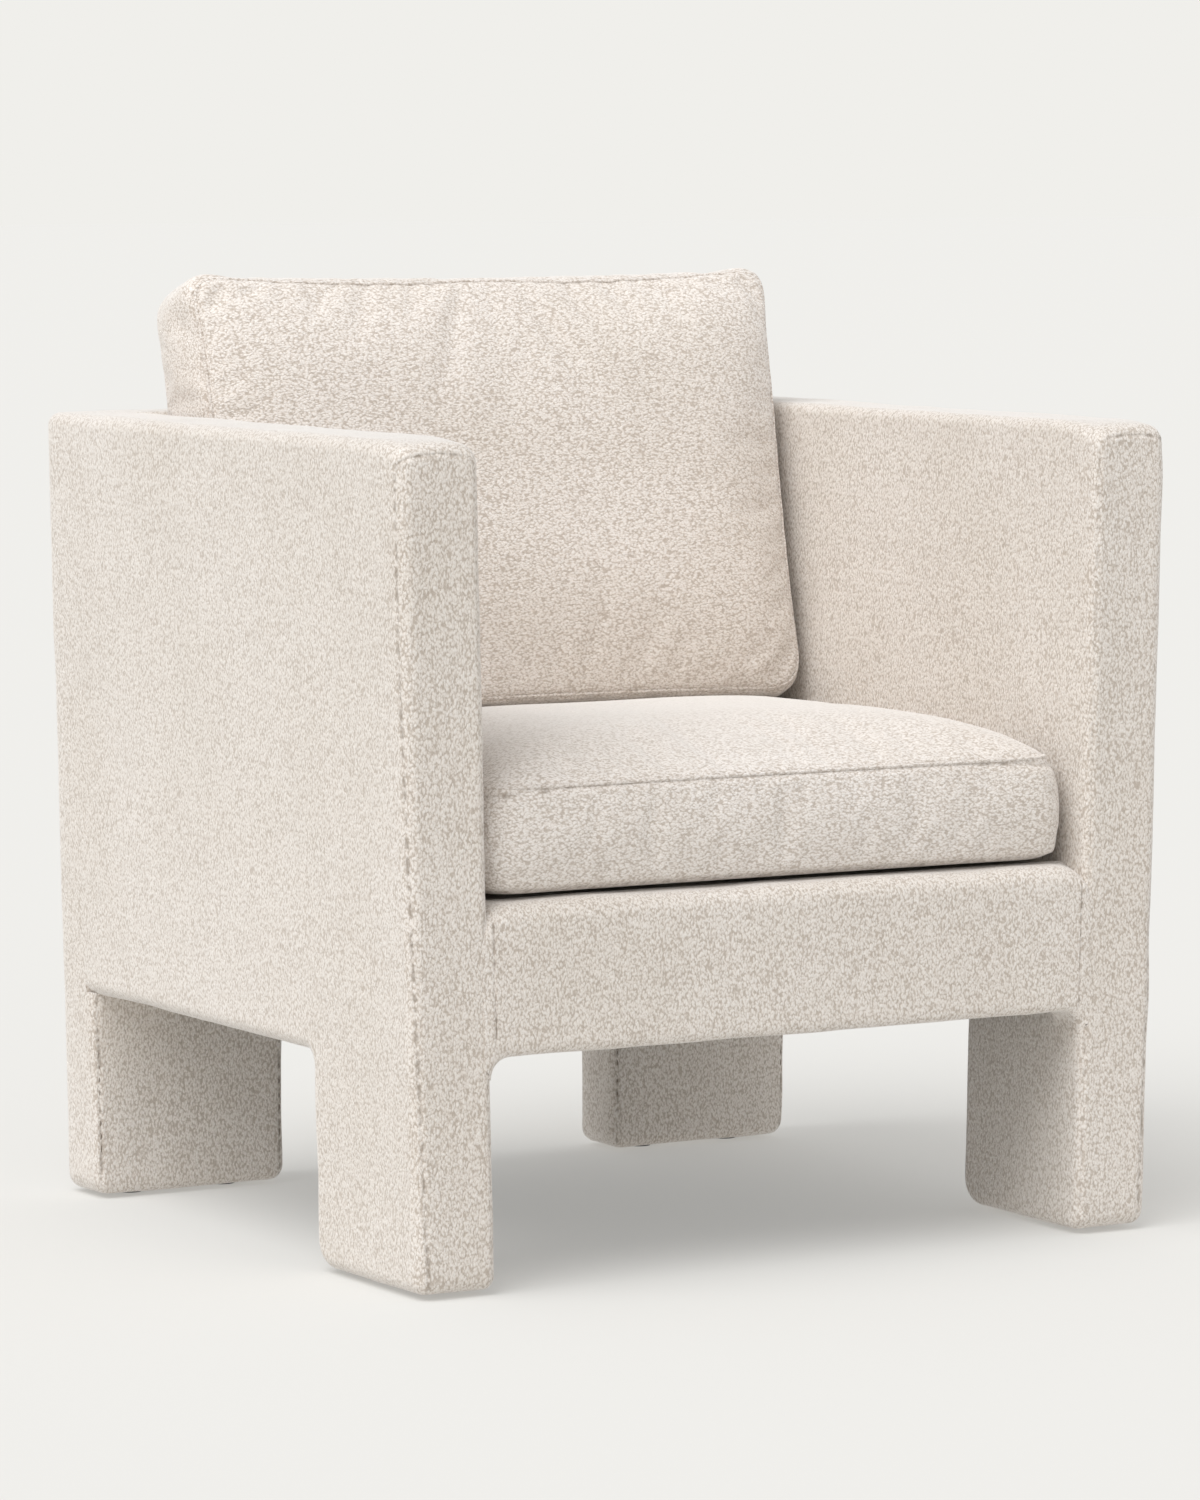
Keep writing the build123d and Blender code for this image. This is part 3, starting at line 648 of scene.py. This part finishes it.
frontRail = makeRail()
smoothShade(frontRail)
place(frontRail, frontCloth, "boucle", "frame", "front_rail_cover", "front_rail_padding")
print("front rail:", len(frontRail.data.polygons), "faces")


# inside back: raked, upholstered in the same cloth
insideSettings = dict(
    lap=0.008, step=0.018, rows=0.045, footPlace=0.2, footGap=0.0004, topEdge=0.009,
    swell=0.003, swellSize=0.09,
)


def deckHeight(y):
    low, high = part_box("deck_cover")
    return high[2] - (y - low[1]) * math.tan(math.radians(chair["pitch"]))


def makeInsideBack():
    s, c = insideSettings, chair
    end = c["halfFloor"] - c["armThickness"] + s["lap"]
    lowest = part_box("inside_back_cover")[0]
    piece = addBlock("insideBack", (-end, lowest[1], 0.0), (end, c["armEnd"], 1.0))
    cutLines(piece, "x", spread(-end, end, s["step"]))
    cutLines(piece, "z", spread(0, 1, s["rows"]))
    xyz = points(piece)
    level = xyz[:, 2].copy()
    atFront = xyz[:, 1] < c["armEnd"] - 0.001
    foot = deckHeight(s["footPlace"]) + s["footGap"]
    xyz[:, 2] = foot + level * (c["height"] - foot)
    slope = math.tan(math.radians(c["rake"]))
    xyz[atFront, 1] = c["legFront"] - (c["height"] - xyz[atFront, 2]) * slope
    setPoints(piece, leanOut(xyz, abs(xyz[:, 0]) / end))
    roundEdges(piece, crossing(c["legFront"], c["height"]), s["topEdge"], 4)
    ripple(piece, s["swellSize"], s["swell"])
    xyz = points(piece)
    xyz[:, 1] = np.minimum(xyz[:, 1], c["armEnd"])
    setPoints(piece, xyz)
    setField(piece, "seam", np.zeros(len(xyz)))
    return piece


insideBack = makeInsideBack()
smoothShade(insideBack)
place(insideBack, frontCloth, "boucle", "frame", "inside_back_cover")


# seat deck under the cushion and the dust cloth under the springs
deckSettings = dict(step=0.02, dip=0.0012, thickness=0.0025, quilts=6.0, border=12)


def makeDeck():
    s = deckSettings
    low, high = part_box("deck_cover")
    end = chair["halfFloor"] - chair["armThickness"]
    deck = addBlock("seatDeck", (-end, low[1], 0.0), (end, high[1], s["thickness"]))
    cutLines(deck, "x", spread(-end, end, s["step"]))
    cutLines(deck, "y", spread(low[1], high[1], s["step"]))
    xyz = points(deck)
    u = xyz[:, 0] / end
    v = (xyz[:, 1] - low[1]) / (high[1] - low[1]) * 2 - 1
    quilt = s["dip"] * (1 - abs(np.sin(u * s["quilts"])) * abs(np.sin(v * s["quilts"])))
    xyz[:, 2] -= np.where(xyz[:, 2] > 0.001, quilt, 0) * np.clip((1 - abs(u)) * s["border"], 0, 1)
    slope = math.tan(math.radians(chair["pitch"]))
    xyz[:, 2] += high[2] - s["thickness"] - (xyz[:, 1] - low[1]) * slope
    setPoints(deck, leanOut(xyz, abs(xyz[:, 0]) / end))
    return deck


seatDeck = makeDeck()
smoothShade(seatDeck)
place(seatDeck, deckCloth, "deck_cloth", "frame", "deck_cover")

dustSettings = dict(squares=20, inset=0.0004, sag=0.0011, thickness=0.0009)


def makeDustCloth():
    s = dustSettings
    low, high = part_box("dust_cover")
    wide, deep = 2 * (high[0] - s["inset"]), high[1] - low[1] - 2 * s["inset"]
    clearSelection()
    bpy.ops.mesh.primitive_grid_add(x_subdivisions=s["squares"], y_subdivisions=s["squares"], size=1)
    cloth = bpy.context.object
    cloth.name = cloth.data.name = "dustCloth"
    xyz = points(cloth)
    u, v = xyz[:, 0] * 2, xyz[:, 1] * 2
    xyz[:, 0] = u * wide / 2
    xyz[:, 1] = (low[1] + high[1]) / 2 + v * deep / 2
    xyz[:, 2] = high[2] - s["inset"] - s["sag"] * (1 - u * u) * (1 - v * v)
    setPoints(cloth, xyz)
    applyModifier(cloth, "SOLIDIFY", thickness=s["thickness"], offset=-1)
    return cloth, (wide, deep)


dustCloth, dustFlat = makeDustCloth()
smoothShade(dustCloth)
place(dustCloth, blackCloth, "black_cloth", "frame", "dust_cover")
print("deck and dust cloth made")


# loose box cushions: blown up by cloth simulation and sewn along their seams
def tilted(degrees):
    a = math.radians(degrees)
    return np.array((0.0, math.sin(a), math.cos(a)))


seatSettings = dict(
    name="seatCushion", body="seat_cushion", up=tilted(chair["pitch"]), boxing=0.092, lowSeam=0.0055,
    voxel=0.0068, pressure=4.0, spare=0.010, fullest=0.012, droop=0.016, widen=0.0, point=0.0,
    finish=cushionCloth,
)
backCushionSettings = dict(
    name="backCushion", body="back_cushion", up=tilted(chair["rake"] - 90), boxing=0.088, lowSeam=0.0053,
    voxel=0.0066, pressure=4.0, spare=0.012, fullest=0.012, droop=0.004, widen=0.036, point=0.010,
    finish=backClothLit,
)
cushionSettings = dict(
    under=0.0025, heldBelow=0.010, heldSeam=0.0036, frames=20, seamDepth=0.0018, seamWidth=0.0034,
    shadeWidth=0.0024, shade=0.5, puckerReach=0.026, weltRadius=0.0017, weltRise=0.0006, armClear=0.0022,
    leastRoom=0.0004,
)


# fills out towards the leaning arms, with its two sewn top corners drawn to a point
def spreadOut(xyz, s, level):
    along = xyz @ np.cross(s["up"], (1.0, 0.0, 0.0))
    xyz[:, 0] *= 1 + s["widen"] * np.clip((xyz[:, 2] - 0.40) / 0.30, 0.4, 1)
    inFromSide, belowTop = abs(xyz[:, 0]).max() - abs(xyz[:, 0]), along.max() - along
    pull = s["point"] * np.exp(-(inFromSide ** 2 + belowTop ** 2) / 0.03 ** 2)
    pull *= np.exp(-((level - s["boxing"]) / 0.035) ** 2) * 0.7
    outward = np.sign(xyz[:, :1]) * (1.0, 0.0, 0.0) + np.cross(s["up"], (1.0, 0.0, 0.0))
    return xyz + outward * pull[:, None]


def blowUp(piece, s, held):
    group = piece.vertex_groups.new(name="held")
    group.add([int(i) for i in np.nonzero(held)[0]], 1.0, "REPLACE")
    workOn(piece)
    cloth = piece.modifiers.new("cloth", "CLOTH")
    cloth.settings.quality = 5
    cloth.settings.mass = 0.3
    cloth.settings.tension_stiffness = 20
    cloth.settings.compression_stiffness = 20
    cloth.settings.shear_stiffness = 8
    cloth.settings.bending_stiffness = 1.0
    cloth.settings.use_pressure = True
    cloth.settings.uniform_pressure_force = s["pressure"]
    cloth.settings.shrink_min = -s["spare"]
    cloth.settings.effector_weights.gravity = 0
    cloth.settings.vertex_group_mass = "held"
    cloth.collision_settings.use_collision = False
    cloth.point_cache.frame_start = 1
    cloth.point_cache.frame_end = cushionSettings["frames"]
    for step in range(1, cushionSettings["frames"] + 1):
        bpy.context.scene.frame_set(step)
    bpy.ops.object.modifier_apply(modifier="cloth")
    bpy.context.scene.frame_set(1)
    piece.vertex_groups.clear()


def makeCushion(s, limit):
    both = cushionSettings
    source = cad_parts[s["body"] + "_filling"]
    piece = bpy.data.objects.new(s["name"], source.data.copy())
    bpy.context.collection.objects.link(piece)
    piece.data.name = s["name"]
    editPiece(piece, "VERT")
    bpy.ops.mesh.select_all(action="SELECT")
    bpy.ops.mesh.remove_doubles(threshold=0.0002)
    bpy.ops.mesh.normals_make_consistent(inside=False)
    leaveEdit()
    piece.data.remesh_voxel_size = s["voxel"]
    bpy.ops.object.voxel_remesh()
    applyModifier(piece, "SMOOTH", factor=0.5, iterations=6)
    rest = points(piece)
    base = (rest @ s["up"]).min() - both["under"]
    level = rest @ s["up"] - base
    rest = spreadOut(rest, s, level)
    setPoints(piece, rest)
    blowUp(piece, s, (level < both["heldBelow"]) | (abs(level - s["boxing"]) < both["heldSeam"]))
    moved = points(piece) - rest
    length = np.linalg.norm(moved, axis=1)
    room = limit(rest)
    moved *= (room * np.tanh(length / room) / np.maximum(length, 1e-9))[:, None]
    print(s["name"], "swelled by up to", round(float(length.max()) * 1000, 1), "mm")
    setPoints(piece, rest + moved)
    applyModifier(piece, "SUBSURF", levels=1, render_levels=1)
    xyz = points(piece)
    level = xyz @ s["up"] - base
    fromSeam = np.minimum(abs(level - s["boxing"]), abs(level - s["lowSeam"]))
    sink = both["seamDepth"] * np.exp(-((fromSeam / both["seamWidth"]) ** 2))
    xyz -= normals(piece) * sink[:, None]
    ahead = np.cross(s["up"], (1.0, 0.0, 0.0))
    along = xyz @ ahead
    fromMiddle = ((along.min() + along.max()) / 2 - along) / np.ptp(along) * 2
    towardFront = np.clip(fromMiddle - 0.35, 0, 1)
    towardSide = np.clip((abs(xyz[:, 0]) - 0.17) / 0.11, 0, 1.2)
    fall = s["droop"] * (towardSide * towardFront) ** 1.5 * np.clip(level / s["boxing"], 0, 1)
    xyz -= fall[:, None] * s["up"]
    setPoints(piece, xyz)
    setField(piece, "seam", both["shade"] * np.exp(-((fromSeam / both["shadeWidth"]) ** 2)))
    setField(piece, "pucker", 1 - fromSeam / both["puckerReach"])
    smoothShade(piece, 60)
    return piece, base


# the sewn line at one level, found from the middle of the cushion outwards
def seamLine(piece, s, base, level, count=260):
    tree = BVHTree.FromObject(piece, bpy.context.evaluated_depsgraph_get())
    up = Vector(s["up"])
    side = Vector((1, 0, 0))
    ahead = up.cross(side)
    middle = Vector(points(piece).mean(axis=0))
    middle += up * (base + level - middle.dot(up))
    found = []
    for n in range(count):
        a = 2 * math.pi * n / count
        hit = tree.ray_cast(middle, side * math.cos(a) + ahead * math.sin(a))[0]
        if hit:
            found.append(hit)
    return found


def seamCord(name, line, radius, rise):
    curve = bpy.data.curves.new(name, "CURVE")
    curve.dimensions = "3D"
    curve.bevel_depth = radius
    curve.bevel_resolution = 1
    spline = curve.splines.new("NURBS")
    spline.points.add(len(line) - 1)
    middle = sum(line, Vector()) / len(line)
    for point, spot in zip(spline.points, line):
        point.co = (*(spot + (spot - middle).normalized() * rise), 1.0)
    spline.use_cyclic_u = True
    spline.order_u = 3
    spline.resolution_u = 2
    cord = bpy.data.objects.new(name, curve)
    bpy.context.collection.objects.link(cord)
    workOn(cord)
    bpy.ops.object.convert(target="MESH")
    cord = bpy.context.object
    bpy.ops.object.shade_smooth()
    return cord


# how far a point may swell before it comes to the arm beside it
def roomToArm(xyz):
    leaning = chair["lean"] * xyz[:, 2] / chair["height"]
    gap = chair["halfFloor"] - chair["armThickness"] + leaning - abs(xyz[:, 0])
    return np.clip(gap - cushionSettings["armClear"], cushionSettings["leastRoom"], 1)


# how far each point may swell: little where another piece is close
def seatRoom(xyz):
    room = np.full(len(xyz), seatSettings["fullest"])
    room *= np.clip((0.13 - xyz[:, 1]) / 0.12, 0.12, 1)
    return np.minimum(room, roomToArm(xyz))


def backRoom(xyz):
    room = np.full(len(xyz), backCushionSettings["fullest"])
    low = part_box("back_cushion_filling")[0][2]
    room *= np.clip((xyz[:, 2] - low) / 0.10, 0.1, 1)
    belowArm = xyz[:, 2] < chair["height"] + 0.02
    return np.where(belowArm, np.minimum(room, roomToArm(xyz)), room)


for s, room, panels in (
    (seatSettings, seatRoom, ("top_panel", "bottom_panel")),
    (backCushionSettings, backRoom, ("front_panel", "rear_panel")),
):
    cushion, base = makeCushion(s, room)
    nodes = [s["body"] + "_" + part for part in panels + ("boxing", "zip_band", "filling")]
    place(cushion, s["finish"], "boucle", s["body"], *nodes)
    sewnLine = seamLine(cushion, s, base, s["boxing"])
    welt = seamCord(s["name"] + "Seam", sewnLine, cushionSettings["weltRadius"], cushionSettings["weltRise"])
    place(welt, s["finish"], "boucle", s["body"])
    print(s["name"], len(cushion.data.polygons), "faces")


# dark blind stitches down the edges of the rear legs
stitchSettings = dict(length=0.0075, radius=0.0006, apart=0.0125, dive=0.0012, lowest=0.028, buried=0.3)


def makeStitches():
    s, c = stitchSettings, chair
    clearSelection()
    bpy.ops.mesh.primitive_cylinder_add(
        vertices=6, radius=s["radius"], depth=s["length"], location=(0, 0, 0)
    )
    one = bpy.context.object
    cutLines(one, "z", spread(-s["length"] / 2, s["length"] / 2, s["length"] / 4))
    xyz = points(one)
    xyz[:, 1] += s["dive"] * (xyz[:, 2] / s["length"] * 2) ** 2  # ends dive into the cloth
    setPoints(one, xyz)
    made = []
    edge = backSettings["seamIn"]
    columns = [side * x for side in (-1, 1) for x in (c["rearLegInner"] + edge, c["halfFloor"] - edge)]
    for row, x in enumerate(columns):
        for n in range(int((c["underside"] - 0.05) / s["apart"])):
            chance = math.sin(n * 12.9898 + row * 78.233) * 43758.5453 % 1
            if chance < s["buried"]:
                continue  # this stitch is buried in the pile
            z = s["lowest"] + (n + chance * 0.6) * s["apart"]
            workOn(one)
            bpy.ops.object.duplicate()
            copy = bpy.context.object
            share = min(1, max(0, (abs(x) - c["rearLegInner"]) / (c["halfFloor"] - c["rearLegInner"])))
            aside = math.copysign(c["lean"] * z / c["height"] * share, x)
            copy.location = (x + aside, c["legFront"] + s["dive"], z)
            copy.scale.z = 0.35 + 0.8 * chance
            made.append(copy)
    bpy.data.objects.remove(one)
    clearSelection()
    for copy in made:
        copy.select_set(True)
    bpy.context.view_layer.objects.active = made[0]
    bpy.ops.object.join()
    bpy.ops.object.transform_apply(location=True, rotation=True, scale=True)
    joined = bpy.context.object
    joined.name = joined.data.name = "legStitches"
    return joined


legStitches = makeStitches()
smoothShade(legStitches, 50)
place(legStitches, threadFinish, "boucle", "frame")
print("stitches:", len(legStitches.data.polygons), "faces")

# finishes of the frame pieces that stay as they are
for name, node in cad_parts.items():
    slot = "timber"
    for word, kind in (
        ("filling", "foam"), ("cushion", "boucle"), ("panel", "plywood"), ("padding", "foam"),
        ("insulator", "felt"), ("spring", "steel"), ("glides", "nylon"), ("dust", "black_cloth"),
        ("deck_cover", "deck_cloth"), ("cover", "boucle"), ("facing", "boucle"),
    ):
        if word in name:
            slot = kind
            break
    wear(node, slotFinish[slot])
print("frame pieces finished")

# floor, light and camera
stageSettings = dict(
    floor=(0.4675, 0.463, 0.449, 1), sky=(0.871, 0.863, 0.831, 1), glow=0.35, ambient=0.60,
    key=((-0.53, -0.19, 0.83), 2.28, 50), fill=((0.0, -1.0, 0.05), 0.38, 50),
)


def makeFloor():
    clearSelection()
    bpy.ops.mesh.primitive_plane_add(size=120, location=(0, 0, 0))
    floor = bpy.context.object
    floor.name = floor.data.name = "studioFloor"
    paint = Finish("studioFloor")
    cloud = paint.noise(paint.objectPoint(), 0.8, 2.0)
    tone = paint.ramp(cloud, [(0.0, stageSettings["floor"]), (1.0, stageSettings["floor"])])
    glow = dict(Emission_Color=stageSettings["sky"], Emission_Strength=stageSettings["glow"])
    wear(floor, paint.close(Base_Color=tone, Roughness=0.9, Specular_IOR_Level=0.0, **glow))


# a sun with a wide angle, so that its shadows are soft and the floor is lit evenly
def softLight(name, fromPoint, strength, softness):
    lamp = bpy.data.lights.new(name, "SUN")
    lamp.energy = strength
    lamp.angle = math.radians(softness)
    holder = bpy.data.objects.new(name, lamp)
    bpy.context.collection.objects.link(holder)
    holder.rotation_euler = (-Vector(fromPoint)).to_track_quat("-Z", "Y").to_euler()


# the backdrop shows pale, and lights the chair more weakly than it shows
def makeSky():
    world = bpy.data.worlds.new("studio")
    bpy.context.scene.world = world
    world.use_nodes = True
    tree = world.node_tree
    seen = tree.nodes["Background"]
    seen.inputs["Color"].default_value = stageSettings["sky"]
    cast = tree.nodes.new("ShaderNodeBackground")
    cast.inputs["Color"].default_value = (1, 1, 1, 1)
    cast.inputs["Strength"].default_value = stageSettings["ambient"]
    path = tree.nodes.new("ShaderNodeLightPath")
    mix = tree.nodes.new("ShaderNodeMixShader")
    tree.links.new(path.outputs["Is Camera Ray"], mix.inputs[0])
    tree.links.new(cast.outputs[0], mix.inputs[1])
    tree.links.new(seen.outputs[0], mix.inputs[2])
    tree.links.new(mix.outputs[0], tree.nodes["World Output"].inputs[0])


makeFloor()
softLight("keyLight", *stageSettings["key"])
softLight("frontFill", *stageSettings["fill"])
makeSky()
bpy.context.scene.view_settings.view_transform = "Standard"

cameraSettings = dict(spot=(-2.853, -4.898, 0.945), yaw=30.25, pitch=5.40, lens=155.0)


def makeCamera():
    s = cameraSettings
    yaw, pitch = math.radians(s["yaw"]), math.radians(s["pitch"])
    ahead = Vector((math.sin(yaw) * math.cos(pitch), math.cos(yaw) * math.cos(pitch), -math.sin(pitch)))
    across = Vector((math.cos(yaw), -math.sin(yaw), 0))
    over = across.cross(ahead)
    lens = bpy.data.cameras.new("photoCamera")
    lens.lens = s["lens"]
    lens.sensor_width = 36
    lens.clip_end = 300
    holder = bpy.data.objects.new("photoCamera", lens)
    bpy.context.collection.objects.link(holder)
    turn = Matrix((across, over, -ahead)).transposed().to_4x4()
    holder.matrix_world = Matrix.Translation(s["spot"]) @ turn
    bpy.context.scene.camera = holder


makeCamera()
print("stage set")
